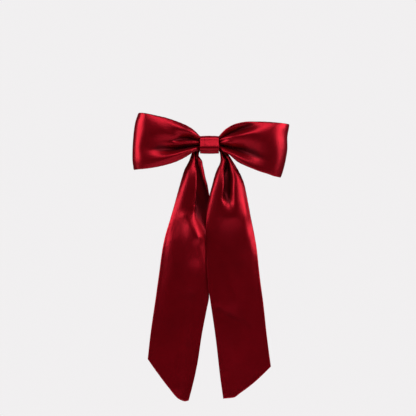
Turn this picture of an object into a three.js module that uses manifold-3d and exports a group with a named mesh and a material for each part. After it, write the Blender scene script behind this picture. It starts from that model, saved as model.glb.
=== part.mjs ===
// Satin hair bow on a sprung steel barrette.
//
// Frame: millimetres, +X to the wearer's right as seen from behind the head, +Z up, -Y away from the head (the bow's
// face) and +Y towards the head. The origin is the middle of the hair space between the tension leaf and the clasp arm.
//
// The bow is three lengths of double satin: a ring that makes both loops, a strip that makes both tails, and a short
// strip round the middle. The barrette is a stamped base plate with hinge ears, a clasp arm on a rivet pin, a tension
// leaf and a catch whose two prongs are pinched together to let the arm go.
import * as THREE from "three";
import { mergeVertices } from "three/addons/utils/BufferGeometryUtils.js";
import Module from "manifold-3d";

const wasm = await Module();
wasm.setup();

// ---- driving dimensions -------------------------------------------------------------------------------------------
const GAP = 0.3; // between neighbours that touch on the real bow

// knot band, the short strip round the middle
const BAND_LENGTH = 19.4; // along X
const BAND_TOP = 8.8;
const BAND_BOTTOM = -8.9;
const BAND_FRONT = -18.3;
const BAND_BACK = -4.7;
const BAND_THICK = 1.0;

// loop ring: front and back layer inside the knot
const LOOP_FRONT_Y = -14.9;
const LOOP_BACK_Y = -12.4;
const CLOTH_THICK = 1.1; // two plies of satin with their seam allowance

// tails
const TAIL_LAYER_Y = -9.2; // the strip's middle, where it passes behind the loops
const TAIL_HINGE_Z = -12.0; // height of the bend that each tail swings from
const TAIL_THROAT_R = 2.1; // half the depth of the gathered throat

// barrette
const PLATE_WIDTH = 10;
const PLATE_THICK = 0.8;
const PLATE_END = 42; // half length
const PLATE_ARCH = 5.5; // how far the middle stands out from the ends
const PLATE_MID_Y = -7.5;
const PLATE_FLAT_FROM = 34; // the ends are flat from here
const ARM_THICK = 0.9;
const ARM_WIDTH = 7.6;
const ARM_Y = 4.0; // middle of the flat centre pad
const ARM_RISE = 1.0; // how far the arm's ends rise towards the head
const PIN_X = 37.0;
const PIN_Y = 4.2;
const PIN_R = 0.8;
const BORE_R = 0.89;
const LEAF_THICK = 0.4;
const LEAF_WIDTH = 6.0;
const LEAF_ROOT_X = 32.0;
const LEAF_TIP_X = -31.0;
const CATCH_X0 = -42;
const CATCH_X1 = -34.5;
const CATCH_Y0 = -1.3; // under face of the catch's foot
const JAW_X0 = -41.2;
const JAW_X1 = -35.4;

// ---- materials ----------------------------------------------------------------------------------------------------
const satin = () => new THREE.MeshStandardMaterial({ color: 0x8e0a1c, roughness: 0.42, metalness: 0.0 });
const steel = () => new THREE.MeshStandardMaterial({ color: 0xb9bcc0, roughness: 0.28, metalness: 1.0 });
const thread = () => new THREE.MeshStandardMaterial({ color: 0x7a0a18, roughness: 0.7, metalness: 0.0 });

const bow = new THREE.Group();
function add(name, geometry, material) {
  const mesh = new THREE.Mesh(geometry, material);
  mesh.name = name;
  bow.add(mesh);
  return mesh;
}

// ---- helpers ------------------------------------------------------------------------------------------------------

// A closed surface from rings of points, each ring a closed section. With wrap the last ring joins the first; otherwise
// both ends get a flat cap.
function skin(rings, wrap) {
  const k = rings[0].length;
  const position = [];
  for (const ring of rings) for (const p of ring) position.push(p[0], p[1], p[2]);
  const index = [];
  const n = rings.length;
  const last = wrap ? n : n - 1;
  for (let i = 0; i < last; i++)
    for (let j = 0; j < k; j++) {
      const a = i * k + j;
      const b = i * k + ((j + 1) % k);
      const c = ((i + 1) % n) * k + j;
      const d = ((i + 1) % n) * k + ((j + 1) % k);
      index.push(a, b, d, a, d, c);
    }
  if (!wrap) {
    // a section is a flat strip folded over: point j faces point k - 1 - j, so the cap is a strip of quads
    for (const [base, flip] of [
      [0, true],
      [(n - 1) * k, false],
    ])
      for (let j = 0; j < k / 2 - 1; j++) {
        const a = base + j;
        const b = base + j + 1;
        const c = base + k - 2 - j;
        const d = base + k - 1 - j;
        if (flip) index.push(a, c, b, a, d, c);
        else index.push(a, b, c, a, c, d);
      }
  }
  const g = new THREE.BufferGeometry();
  g.setAttribute("position", new THREE.Float32BufferAttribute(position, 3));
  g.setIndex(index);
  return outward(g);
}

function volume(g) {
  const p = g.getAttribute("position");
  const ix = g.index.array;
  let v = 0;
  for (let i = 0; i < ix.length; i += 3) {
    const [a, b, c] = [ix[i], ix[i + 1], ix[i + 2]];
    v +=
      p.getX(a) * (p.getY(b) * p.getZ(c) - p.getZ(b) * p.getY(c)) -
      p.getY(a) * (p.getX(b) * p.getZ(c) - p.getZ(b) * p.getX(c)) +
      p.getZ(a) * (p.getX(b) * p.getY(c) - p.getY(b) * p.getX(c));
  }
  return v / 6;
}

function outward(g) {
  if (volume(g) < 0) {
    const ix = g.index.array;
    for (let i = 0; i < ix.length; i += 3) [ix[i + 1], ix[i + 2]] = [ix[i + 2], ix[i + 1]];
  }
  return g;
}

// Catmull-Rom through rows of numbers, with extra rows between; closed or open.
function smooth(rows, per, closed) {
  const n = rows.length;
  const out = [];
  const at = (i) => (closed ? rows[(i + n) % n] : rows[Math.max(0, Math.min(n - 1, i))]);
  const spans = closed ? n : n - 1;
  for (let i = 0; i < spans; i++) {
    const [p0, p1, p2, p3] = [at(i - 1), at(i), at(i + 1), at(i + 2)];
    for (let s = 0; s < per; s++) {
      const t = s / per;
      out.push(
        p1.map(
          (_, q) =>
            0.5 *
            (2 * p1[q] +
              (p2[q] - p0[q]) * t +
              (2 * p0[q] - 5 * p1[q] + 4 * p2[q] - p3[q]) * t * t +
              (3 * p1[q] - p0[q] - 3 * p2[q] + p3[q]) * t * t * t),
        ),
      );
    }
  }
  if (!closed) out.push(rows[n - 1].slice());
  return out;
}

// three.js geometry to a manifold-3d solid and back
function solid(geometry) {
  const bare = geometry.index ? geometry.toNonIndexed() : geometry.clone();
  bare.deleteAttribute("normal");
  bare.deleteAttribute("uv");
  const merged = mergeVertices(bare, 1e-4);
  return new wasm.Manifold(
    new wasm.Mesh({
      numProp: 3,
      vertProperties: new Float32Array(merged.attributes.position.array),
      triVerts: new Uint32Array(merged.index.array),
    }),
  );
}
function geometryOf(manifold) {
  const m = manifold.getMesh();
  const g = new THREE.BufferGeometry();
  g.setAttribute("position", new THREE.BufferAttribute(new Float32Array(m.vertProperties), 3));
  g.setIndex(new THREE.BufferAttribute(new Uint32Array(m.triVerts), 1));
  g.computeVertexNormals();
  return g;
}

// A profile in X and Y, extruded along Z from z0 to z1
function prismZ(points, z0, z1, holes = []) {
  const shape = new THREE.Shape(points.map((p) => new THREE.Vector2(p[0], p[1])));
  for (const h of holes) shape.holes.push(new THREE.Path(h.map((p) => new THREE.Vector2(p[0], p[1]))));
  const g = new THREE.ExtrudeGeometry(shape, { depth: z1 - z0, bevelEnabled: false, steps: 1 });
  g.translate(0, 0, z0);
  return g;
}
// A profile in Y and Z, extruded along X from x0 to x1
function prismX(points, x0, x1, holes = []) {
  const g = prismZ(points, 0, x1 - x0, holes);
  g.applyMatrix4(new THREE.Matrix4().set(0, 0, 1, x0, 1, 0, 0, 0, 0, 1, 0, 0, 0, 0, 0, 1));
  return g;
}
// A profile in X and Z, extruded along Y from y0 to y1
function prismY(points, y0, y1, holes = []) {
  const g = prismZ(points, 0, y1 - y0, holes);
  g.applyMatrix4(new THREE.Matrix4().set(1, 0, 0, 0, 0, 0, -1, y1, 0, 1, 0, 0, 0, 0, 0, 1));
  return g;
}
function box(x0, x1, y0, y1, z0, z1) {
  const g = new THREE.BoxGeometry(x1 - x0, y1 - y0, z1 - z0);
  g.translate((x0 + x1) / 2, (y0 + y1) / 2, (z0 + z1) / 2);
  return g;
}
function circle(cx, cy, r, n = 28) {
  return Array.from({ length: n }, (_, i) => [
    cx + r * Math.cos((2 * Math.PI * i) / n),
    cy + r * Math.sin((2 * Math.PI * i) / n),
  ]);
}
function roundedRect(x0, x1, y0, y1, r, n = 6) {
  const out = [];
  const corners = [
    [x1 - r, y0 + r, -Math.PI / 2],
    [x1 - r, y1 - r, 0],
    [x0 + r, y1 - r, Math.PI / 2],
    [x0 + r, y0 + r, Math.PI],
  ];
  for (const [cx, cy, a0] of corners)
    for (let i = 0; i <= n; i++) {
      const a = a0 + (Math.PI / 2) * (i / n);
      out.push([cx + r * Math.cos(a), cy + r * Math.sin(a)]);
    }
  return out;
}
// a strip of even thickness along y = f(x), as a closed profile
function strip(f, x0, x1, thick, n) {
  const upper = [];
  const lower = [];
  for (let i = 0; i <= n; i++) {
    const x = x0 + ((x1 - x0) * i) / n;
    const e = 0.01;
    const s = (f(x + e) - f(x - e)) / (2 * e);
    const l = Math.hypot(1, s);
    lower.push([x + (s / l) * (thick / 2), f(x) - thick / 2 / l]);
    upper.push([x - (s / l) * (thick / 2), f(x) + thick / 2 / l]);
  }
  return [...lower, ...upper.reverse()];
}

// ---- fabric: loop ring --------------------------------------------------------------------------------------------
// Each row: path x, path y, top edge z, bottom edge z, thickness, crown (how far mid-height stands out from the edges)
const rightLobe = [
  [0, LOOP_FRONT_Y, 6.1, -6.1, 2.2, 0],
  [10, LOOP_FRONT_Y - 0.1, 6.4, -6.0, 2.2, 0.2],
  [16, -17.4, 13.4, -8.2, 1.7, 1.5],
  [24, -20.0, 19.0, -14.2, 1.3, 3.2],
  [37, -22.0, 22.8, -21.6, CLOTH_THICK, 4.2],
  [52, -21.6, 22.8, -27.6, CLOTH_THICK, 3.6],
  [66, -18.6, 21.9, -30.8, CLOTH_THICK, 2.0],
  [75.5, -14.2, 21.2, -32.6, CLOTH_THICK, 0.8],
  [79.6, -9.6, 20.8, -33.0, CLOTH_THICK, 0.3],
  [75.5, -5.8, 21.2, -32.6, CLOTH_THICK, 0.3],
  [66, -4.4, 21.7, -30.4, CLOTH_THICK, 0.4],
  [50, -4.8, 22.2, -26.6, CLOTH_THICK, 0.6],
  [36, -6.2, 21.8, -20.4, CLOTH_THICK, 0.8],
  [24, -8.8, 18.0, -13.0, 1.3, 0.8],
  [16, -11.2, 12.6, -7.6, 1.5, 0.4],
  [10, LOOP_BACK_Y, 6.4, -6.0, 1.9, 0],
];
const leftLobe = [
  [0, LOOP_BACK_Y, 6.1, -6.1, 1.9, 0],
  [-10, LOOP_BACK_Y, 6.4, -6.0, 1.9, 0],
  [-16, -11.2, 13.6, -7.0, 1.5, 0.4],
  [-24, -8.8, 19.2, -11.8, 1.3, 0.8],
  [-36, -6.2, 24.0, -17.8, CLOTH_THICK, 0.8],
  [-50, -4.8, 27.4, -21.8, CLOTH_THICK, 0.6],
  [-64, -4.4, 30.2, -24.4, CLOTH_THICK, 0.4],
  [-72.5, -5.8, 31.6, -25.2, CLOTH_THICK, 0.3],
  [-77.2, -9.6, 32.0, -25.4, CLOTH_THICK, 0.3],
  [-73.0, -14.2, 31.8, -25.6, CLOTH_THICK, 0.8],
  [-64, -18.6, 30.4, -25.0, CLOTH_THICK, 2.0],
  [-50, -21.6, 28.0, -22.6, CLOTH_THICK, 3.6],
  [-36, -22.0, 24.8, -18.6, CLOTH_THICK, 4.2],
  [-24, -20.0, 20.4, -12.8, 1.3, 3.2],
  [-16, -17.4, 14.4, -8.0, 1.7, 1.5],
  [-10, LOOP_FRONT_Y - 0.1, 6.4, -6.0, 2.2, 0.2],
];
{
  const path = smooth([...rightLobe, ...leftLobe], 3, true);
  const n = path.length;
  const across = 7;
  const rings = path.map((row, i) => {
    const [px, py] = path[(i + n - 1) % n];
    const [qx, qy] = path[(i + 1) % n];
    const l = Math.hypot(qx - px, qy - py);
    // outward of the ring, to the right of the way the path runs
    const nx = (qy - py) / l;
    const ny = -(qx - px) / l;
    const [x, y, zt, zb, t, crown] = row;
    const side = [];
    const other = [];
    for (let j = 0; j < across; j++) {
      const u = (2 * j) / (across - 1) - 1;
      const c = crown * (1 - u * u);
      const z = zb + ((zt - zb) * (u + 1)) / 2;
      // gathered cloth is fuller in its middle than at its edges
      const h = (t / 2) * (1 - Math.min(0.5, Math.max(0, t - 1.3)) * u * u);
      side.push([x + nx * (c + h), y + ny * (c + h), z]);
      other.push([x + nx * (c - h), y + ny * (c - h), z]);
    }
    return [...side, ...other.reverse()];
  });
  add("loop_ribbon", skin(rings, true), satin());
}

// ---- fabric: tails ------------------------------------------------------------------------------------------------
// The strip's middle: behind the loops, through the knot, with both ends turned down.
{
  const rows = smooth(
    [
      [-12.9, TAIL_LAYER_Y, -9.3, 1.0, 1.6],
      [-12.9, TAIL_LAYER_Y, -6.2, 1.1, 1.9],
      [-11.6, TAIL_LAYER_Y, -2.8, 1.0, 3.4],
      [-8.0, TAIL_LAYER_Y, -0.4, 1.0, 5.4],
      [0, TAIL_LAYER_Y, 0, 1.0, 6.3],
      [8.0, TAIL_LAYER_Y, -0.4, 1.0, 5.4],
      [11.6, TAIL_LAYER_Y, -2.8, 1.0, 3.4],
      [12.9, TAIL_LAYER_Y, -6.2, 1.1, 1.9],
      [12.9, TAIL_LAYER_Y, -9.3, 1.0, 1.6],
    ],
    3,
    false,
  );
  const rings = rows.map(([x, y, z, ty, half], i) => {
    const a = rows[Math.max(0, i - 1)];
    const b = rows[Math.min(rows.length - 1, i + 1)];
    const l = Math.hypot(b[0] - a[0], b[2] - a[2]);
    const nx = -(b[2] - a[2]) / l;
    const nz = (b[0] - a[0]) / l;
    const section = [];
    const cs = [-1, -0.5, 0, 0.5, 1];
    for (const c of cs) section.push([x + nx * half * c, y - ty * (1 - 0.35 * c * c), z + nz * half * c]);
    for (const c of cs.slice().reverse())
      section.push([x + nx * half * c, y + ty * (1 - 0.35 * c * c), z + nz * half * c]);
    return section;
  });
  add("tail_ribbon_middle", skin(rings, false), satin());
}

// A tail: rows of z, left edge x, right edge x, middle y, channel depth, thickness. Its top is round about the bend, so
// that it turns there without touching the knot; end gives the slanting cut as height against the share across.
function tail(rows, end, body) {
  const table = smooth(rows, 4, false);
  const across = 7;
  const look = (z) => {
    let i = 0;
    while (i < table.length - 2 && table[i + 1][0] > z) i++;
    const [a, b] = [table[i], table[i + 1]];
    const t = Math.max(0, Math.min(1, (z - a[0]) / (b[0] - a[0])));
    return a.map((v, q) => v + (b[q] - v) * t);
  };
  const endAt = (u) => {
    let i = 0;
    while (i < end.length - 2 && end[i + 1][0] < u) i++;
    const [a, b] = [end[i], end[i + 1]];
    return a[1] + ((b[1] - a[1]) * (u - a[0])) / (b[0] - a[0]);
  };
  const rings = [];
  // the round top
  for (let k = 0; k <= 3; k++) {
    const a = (Math.PI / 2) * (1 - k / 3) * 0.86;
    const z = TAIL_HINGE_Z + TAIL_THROAT_R * Math.sin(a);
    const t = 2 * TAIL_THROAT_R * Math.cos(a);
    const [, xl, xr, y] = rows[0];
    rings.push(section(() => z, xl, xr, () => y, t));
  }
  const zTop = TAIL_HINGE_Z;
  const steps = 30;
  for (let k = 1; k <= steps; k++) {
    const f = k / steps;
    const zOf = (u) => zTop + (endAt(u) - zTop) * f;
    const zm = zOf(0.5);
    const side = [];
    const other = [];
    for (let j = 0; j < across; j++) {
      const u = j / (across - 1);
      const z = zOf(u);
      const [, xl, xr, y, d, t] = look(z);
      const w = 2 * u - 1;
      const yy = y - d * (w * w - 0.35);
      const edge = Math.abs(w) > 0.99 ? 0.6 : 1;
      side.push([xl + (xr - xl) * u, yy - (t / 2) * edge, z]);
      other.push([xl + (xr - xl) * u, yy + (t / 2) * edge, z]);
    }
    rings.push([...side, ...other.reverse()]);
  }
  function section(zf, xl, xr, yf, t) {
    const side = [];
    const other = [];
    for (let j = 0; j < across; j++) {
      const u = j / (across - 1);
      const w = 2 * u - 1;
      const edge = 1 - 0.3 * w * w;
      side.push([xl + (xr - xl) * u, yf(u) - (t / 2) * edge, zf(u)]);
      other.push([xl + (xr - xl) * u, yf(u) + (t / 2) * edge, zf(u)]);
    }
    return [...side, ...other.reverse()];
  }
  add(body, skin(rings, false), satin());
}
// Each tail's weight hangs straight below its bend. The right one lies in front of the left down to about half way,
// and behind it at the tips.
tail(
  [
    [-12, -17.2, -10.6, TAIL_LAYER_Y, 0, 2 * TAIL_THROAT_R],
    [-18, -21.2, -8.6, -9.0, 1.2, 3.4],
    [-27, -26.2, -5.6, -8.7, 2.6, 2.4],
    [-40, -30.2, -3.4, -8.4, 3.6, 1.6],
    [-60, -36.4, -3.4, -8.3, 3.4, 1.3],
    [-85, -43.0, -4.4, -8.3, 2.4, CLOTH_THICK],
    [-115, -49.6, -4.6, -8.5, 1.2, CLOTH_THICK],
    [-150, -54.8, -3.6, -8.9, 0.6, CLOTH_THICK],
    [-200, -61.4, -8.6, -9.8, 0.4, CLOTH_THICK],
    [-240, -66.4, -15.6, -10.4, 0.4, CLOTH_THICK],
    [-270, -70.0, -22.4, -10.8, 0.4, CLOTH_THICK],
  ],
  [
    [0, -222],
    [0.33, -244],
    [0.55, -255.5],
    [0.85, -264.6],
    [1, -265.6],
  ],
  "left_tail",
);
tail(
  [
    [-12, 10.6, 17.6, TAIL_LAYER_Y, 0, 2 * TAIL_THROAT_R],
    [-18, 10.4, 24.6, -9.8, 1.4, 3.4],
    [-27, 7.4, 30.0, -10.8, 3.0, 2.4],
    [-40, 3.6, 35.8, -11.4, 4.0, 1.6],
    [-60, -0.6, 40.4, -11.6, 4.0, 1.3],
    [-85, -2.4, 45.2, -11.4, 2.8, CLOTH_THICK],
    [-115, -2.6, 49.8, -10.9, 1.4, CLOTH_THICK],
    [-150, -0.4, 54.2, -9.6, 0.8, CLOTH_THICK],
    [-200, 6.2, 59.6, -7.4, 0.5, CLOTH_THICK],
    [-240, 11.0, 65.0, -6.0, 0.5, CLOTH_THICK],
    [-270, 15.4, 69.0, -5.2, 0.5, CLOTH_THICK],
  ],
  [
    [0, -263.2],
    [0.2, -262.0],
    [0.35, -257.0],
    [0.62, -247.0],
    [1, -230],
  ],
  "right_tail",
);

// ---- fabric: knot band --------------------------------------------------------------------------------------------
{
  // in Y and Z; the face is rounder than the back
  const profile = (inset) => {
    const [y0, y1, z0, z1] = [BAND_FRONT + inset, BAND_BACK - inset, BAND_BOTTOM + inset, BAND_TOP - inset];
    const rf = 5.0 - inset;
    const rb = 2.2 - inset;
    const out = [];
    for (const [cy, cz, r, a0] of [
      [y1 - rb, z0 + rb, rb, -Math.PI / 2],
      [y1 - rb, z1 - rb, rb, 0],
      [y0 + rf, z1 - rf, rf, Math.PI / 2],
      [y0 + rf, z0 + rf, rf, Math.PI],
    ])
      for (let i = 0; i <= 7; i++) {
        const a = a0 + (Math.PI / 2) * (i / 7);
        out.push([cy + r * Math.cos(a), cz + r * Math.sin(a)]);
      }
    return out;
  };
  const ring = prismX(profile(0), -BAND_LENGTH / 2, BAND_LENGTH / 2, [profile(BAND_THICK).reverse()]);
  add("knot_band", geometryOf(solid(ring)), satin());
}

// ---- thread -------------------------------------------------------------------------------------------------------
// A round thread along points, with each section turned square to the path.
function threadTube(points, r, sides, normalOf) {
  const n = points.length;
  const rings = points.map((p, i) => {
    const a = new THREE.Vector3(...points[Math.max(0, i - 1)]);
    const b = new THREE.Vector3(...points[Math.min(n - 1, i + 1)]);
    const t = b.sub(a).normalize();
    const u = new THREE.Vector3(...normalOf(i));
    u.addScaledVector(t, -u.dot(t)).normalize();
    const v = new THREE.Vector3().crossVectors(t, u);
    const ring = [];
    for (let k = 0; k < sides; k++) {
      const w = (2 * Math.PI * (k + 0.5)) / sides;
      ring.push([
        p[0] + r * (Math.cos(w) * u.x + Math.sin(w) * v.x),
        p[1] + r * (Math.cos(w) * u.y + Math.sin(w) * v.y),
        p[2] + r * (Math.cos(w) * u.z + Math.sin(w) * v.z),
      ]);
    }
    return ring;
  });
  return skin(rings, false);
}
{
  // five turns round the pinched waist of the loops
  const turns = 5;
  const per = 28;
  const pts = [];
  const normals = [];
  for (let i = 0; i <= turns * per; i++) {
    const a = (2 * Math.PI * i) / per;
    const [c, s] = [Math.cos(a), Math.sin(a)];
    const e = 3.5;
    const q = Math.pow(Math.pow(Math.abs(c), e) + Math.pow(Math.abs(s), e), -1 / e);
    const y = -13.75 + 2.95 * q * c;
    const z = 6.98 * q * s;
    pts.push([-3.6 + (7.2 * i) / (turns * per), y, z]);
    normals.push([1, 0, 0]);
  }
  add("gathering_thread", threadTube(pts, 0.26, 8, (i) => normals[i]), thread());
}
{
  // whip stitches that close the band behind the plate
  const pts = [];
  const n = 9;
  for (let i = 0; i <= n; i++) {
    const x = -8 + (16 * i) / n;
    pts.push([x, BAND_BACK + GAP + 0.22, -1.2 + (i % 2 ? 1.5 : -1.5)]);
  }
  const fine = smooth(pts, 4, false);
  add("band_closing_thread", threadTube(fine, 0.22, 8, () => [0, 1, 0]), thread());
}

// ---- barrette: base plate -----------------------------------------------------------------------------------------
const plateY = (x) =>
  PLATE_MID_Y + (PLATE_ARCH * (1 - Math.cos((Math.PI * Math.min(Math.abs(x), PLATE_FLAT_FROM)) / PLATE_FLAT_FROM))) / 2;
const PLATE_END_Y = plateY(PLATE_END);
const PLATE_BACK_END = PLATE_END_Y + PLATE_THICK / 2;
{
  const sheet = prismZ(strip(plateY, -PLATE_END, PLATE_END, PLATE_THICK, 42), -PLATE_WIDTH / 2, PLATE_WIDTH / 2);
  const outline = prismY(roundedRect(-PLATE_END, PLATE_END, -PLATE_WIDTH / 2, PLATE_WIDTH / 2, 2.4), -20, 20);
  let plate = solid(sheet).intersect(solid(outline));
  // sewing holes, and the hole for the catch's rivet
  for (const [x, r] of [
    [-30.5, 0.9],
    [29.0, 0.9],
    [(CATCH_X0 + CATCH_X1) / 2, 0.95],
  ])
    plate = plate.subtract(solid(prismY(circle(x, 0, r, 20), -20, 20)));
  // hinge ears, folded up from the plate's sides
  const earOutline = [];
  earOutline.push([PIN_X - 2.3, PLATE_END_Y - 0.3], [PIN_X + 2.3, PLATE_END_Y - 0.3], [PIN_X + 2.3, PIN_Y]);
  for (let i = 1; i < 12; i++) {
    const a = (Math.PI * i) / 12;
    earOutline.push([PIN_X + 2.3 * Math.cos(a), PIN_Y + 2.3 * Math.sin(a)]);
  }
  earOutline.push([PIN_X - 2.3, PIN_Y]);
  for (const s of [-1, 1]) {
    const z0 = s > 0 ? PLATE_WIDTH / 2 - 0.8 : -PLATE_WIDTH / 2;
    const ear = solid(prismZ(earOutline, z0, z0 + 0.8)).subtract(
      solid(prismZ(circle(PIN_X, PIN_Y, BORE_R), z0 - 1, z0 + 2)),
    );
    plate = plate.add(ear);
  }
  // two small guides that keep the leaf's root in line
  for (const s of [-1, 1]) {
    const z0 = s > 0 ? LEAF_WIDTH / 2 + 0.3 : -LEAF_WIDTH / 2 - 0.9;
    plate = plate.add(solid(box(LEAF_ROOT_X - 2.6, LEAF_ROOT_X + 0.2, PLATE_END_Y - 0.4, PLATE_BACK_END + 1.2, z0, z0 + 0.6)));
  }
  add("base_plate", geometryOf(plate), steel());
}

// ---- barrette: tension leaf ---------------------------------------------------------------------------------------
{
  const rootY = PLATE_BACK_END + GAP + LEAF_THICK / 2;
  const leafY = (x) => {
    const m = (LEAF_ROOT_X + LEAF_TIP_X) / 2;
    const h = (LEAF_ROOT_X - LEAF_TIP_X) / 2;
    const q = (x - m) / h;
    return rootY - 2.1 * (1 - q * q) * (1 - q * q);
  };
  let leaf = solid(
    prismZ(strip(leafY, LEAF_TIP_X, LEAF_ROOT_X, LEAF_THICK, 34), -LEAF_WIDTH / 2, LEAF_WIDTH / 2),
  ).intersect(solid(prismY(roundedRect(LEAF_TIP_X, LEAF_ROOT_X, -LEAF_WIDTH / 2, LEAF_WIDTH / 2, 2.0), -20, 20)));
  add("tension_leaf", geometryOf(leaf), steel());
}

// ---- barrette: clasp arm ------------------------------------------------------------------------------------------
const armY = (x) => {
  const from = 9;
  const q = Math.max(0, Math.abs(x) - from) / (37 - from);
  return ARM_Y + ARM_RISE * Math.min(q, 1.2) ** 2 * (x > 0 ? 0.2 : 1);
};
{
  const X_FAR = -43.6;
  const outline = [];
  // plan of the arm in X and Z: narrow bar, wider frame at the catch
  const half = ARM_WIDTH / 2;
  const wide = 5.3;
  outline.push([PIN_X, -half], [PIN_X, half], [-29.5, half], [-32.5, wide]);
  for (let i = 0; i <= 6; i++) {
    const a = Math.PI / 2 + (Math.PI / 2) * (i / 6);
    outline.push([X_FAR + 2.2 + 2.2 * Math.cos(a), wide - 2.2 + 2.2 * Math.sin(a)]);
  }
  for (let i = 0; i <= 6; i++) {
    const a = Math.PI + (Math.PI / 2) * (i / 6);
    outline.push([X_FAR + 2.2 + 2.2 * Math.cos(a), -wide + 2.2 + 2.2 * Math.sin(a)]);
  }
  outline.push([-32.5, -wide], [-29.5, -half]);
  let arm = solid(prismZ(strip(armY, X_FAR, PIN_X, ARM_THICK, 48), -6, 6)).intersect(
    solid(prismY(outline, -20, 20)),
  );
  // the frame's window, which the prongs of the catch come through
  arm = arm.subtract(solid(prismY(roundedRect(-42.0, -34.2, -4.1, 4.1, 0.8, 4), -20, 20)));
  // two stamped slots, which keep hair from slipping; the middle is left whole
  for (const [x0, x1] of [
    [-27, -10],
    [10, 27],
  ])
    arm = arm.subtract(solid(prismY(roundedRect(x0, x1, -1.7, 1.7, 1.6, 4), -20, 20)));
  // rolled knuckle round the pin
  const knuckle = solid(prismZ(circle(PIN_X, PIN_Y, 1.75), -half, half));
  arm = arm.add(knuckle).subtract(solid(prismZ(circle(PIN_X, PIN_Y, BORE_R), -9, 9)));
  add("clasp_arm", geometryOf(arm), steel());
}

// ---- barrette: hinge pin ------------------------------------------------------------------------------------------
{
  // a shank with a low dome at each end, turned about the pin's own axis
  const end = PLATE_WIDTH / 2 + 0.12;
  const profile = [new THREE.Vector2(0, -end - 0.7)];
  for (let i = 1; i <= 5; i++) {
    const a = (Math.PI / 2) * (i / 5);
    profile.push(new THREE.Vector2(1.45 * Math.sin(a), -end - 0.7 * Math.cos(a)));
  }
  profile.push(new THREE.Vector2(PIN_R, -end), new THREE.Vector2(PIN_R, end), new THREE.Vector2(1.45, end));
  for (let i = 4; i >= 1; i--) {
    const a = (Math.PI / 2) * (i / 5);
    profile.push(new THREE.Vector2(1.45 * Math.sin(a), end + 0.7 * Math.cos(a)));
  }
  profile.push(new THREE.Vector2(0, end + 0.7));
  const pin = new THREE.LatheGeometry(profile, 28);
  pin.rotateX(Math.PI / 2);
  pin.translate(PIN_X, PIN_Y, 0);
  add("hinge_pin", geometryOf(solid(pin)), steel());
}

// ---- barrette: catch ----------------------------------------------------------------------------------------------
const CATCH_X = (CATCH_X0 + CATCH_X1) / 2;
{
  let foot = solid(prismY(roundedRect(CATCH_X0, CATCH_X1, -3.9, 3.9, 1.0, 4), CATCH_Y0, CATCH_Y0 + 0.8));
  foot = foot.subtract(solid(prismY(circle(CATCH_X, 0, 0.95, 20), CATCH_Y0 - 1, CATCH_Y0 + 2)));
  add("catch_foot", geometryOf(foot), steel());
}
const JAW_Y = CATCH_Y0 + 0.8 + GAP; // under edge of a prong
for (const [name, s] of [
  ["catch_prong_upper", 1],
  ["catch_prong_lower", -1],
]) {
  // in Y and Z: a waist where the arm's frame sits, a shoulder over it, and a finger tip
  const pts = [
    [JAW_Y, 2.35],
    [JAW_Y, 3.05],
    [5.7, 3.35],
    [6.1, 3.95],
    [6.7, 3.85],
    [9.6, 3.7],
    [10.1, 3.3],
    [9.7, 3.0],
    [5.6, 2.7],
  ].map(([y, z]) => [y, s * z]);
  if (s < 0) pts.reverse();
  add(name, geometryOf(solid(prismX(pts, JAW_X0, JAW_X1))), steel());
}
{
  // shank through foot and plate, with a dome over the foot and a flat head in front of the plate
  const back = CATCH_Y0 + 0.8 + 0.12;
  const front = PLATE_END_Y - PLATE_THICK / 2 - 0.12;
  const profile = [
    new THREE.Vector2(0, front - 0.45),
    new THREE.Vector2(1.2, front - 0.45),
    new THREE.Vector2(1.5, front - 0.2),
    new THREE.Vector2(1.5, front),
    new THREE.Vector2(0.8, front),
    new THREE.Vector2(0.8, back),
    new THREE.Vector2(1.5, back),
    new THREE.Vector2(1.3, back + 0.4),
    new THREE.Vector2(0.8, back + 0.65),
    new THREE.Vector2(0, back + 0.75),
  ];
  const rivet = new THREE.LatheGeometry(profile, 24);
  rivet.translate(CATCH_X, 0, 0);
  add("catch_rivet", geometryOf(solid(rivet)), steel());
}

export default bow;
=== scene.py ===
"""Satin hair bow on a sprung steel barrette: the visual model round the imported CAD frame.

All lengths in the tables below are millimetres in the row frame; mesh data is written in metres.
"""

import math

import bpy
import numpy as np
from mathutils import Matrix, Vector


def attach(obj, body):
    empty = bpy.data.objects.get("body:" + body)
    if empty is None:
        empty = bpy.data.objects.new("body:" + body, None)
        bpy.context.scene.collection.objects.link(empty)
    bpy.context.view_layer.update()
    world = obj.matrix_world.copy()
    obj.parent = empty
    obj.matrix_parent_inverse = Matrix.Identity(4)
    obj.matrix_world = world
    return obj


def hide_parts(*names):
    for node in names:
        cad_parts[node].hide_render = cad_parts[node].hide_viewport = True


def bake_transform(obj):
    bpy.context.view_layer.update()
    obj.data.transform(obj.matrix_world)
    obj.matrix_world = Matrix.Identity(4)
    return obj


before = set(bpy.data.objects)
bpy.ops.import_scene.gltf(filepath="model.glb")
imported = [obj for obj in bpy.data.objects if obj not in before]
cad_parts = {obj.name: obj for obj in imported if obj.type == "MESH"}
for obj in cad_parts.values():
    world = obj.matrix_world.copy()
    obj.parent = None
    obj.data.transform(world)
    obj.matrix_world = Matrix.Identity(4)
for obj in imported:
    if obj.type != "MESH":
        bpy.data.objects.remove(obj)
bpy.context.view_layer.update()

MM = 0.001


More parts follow.
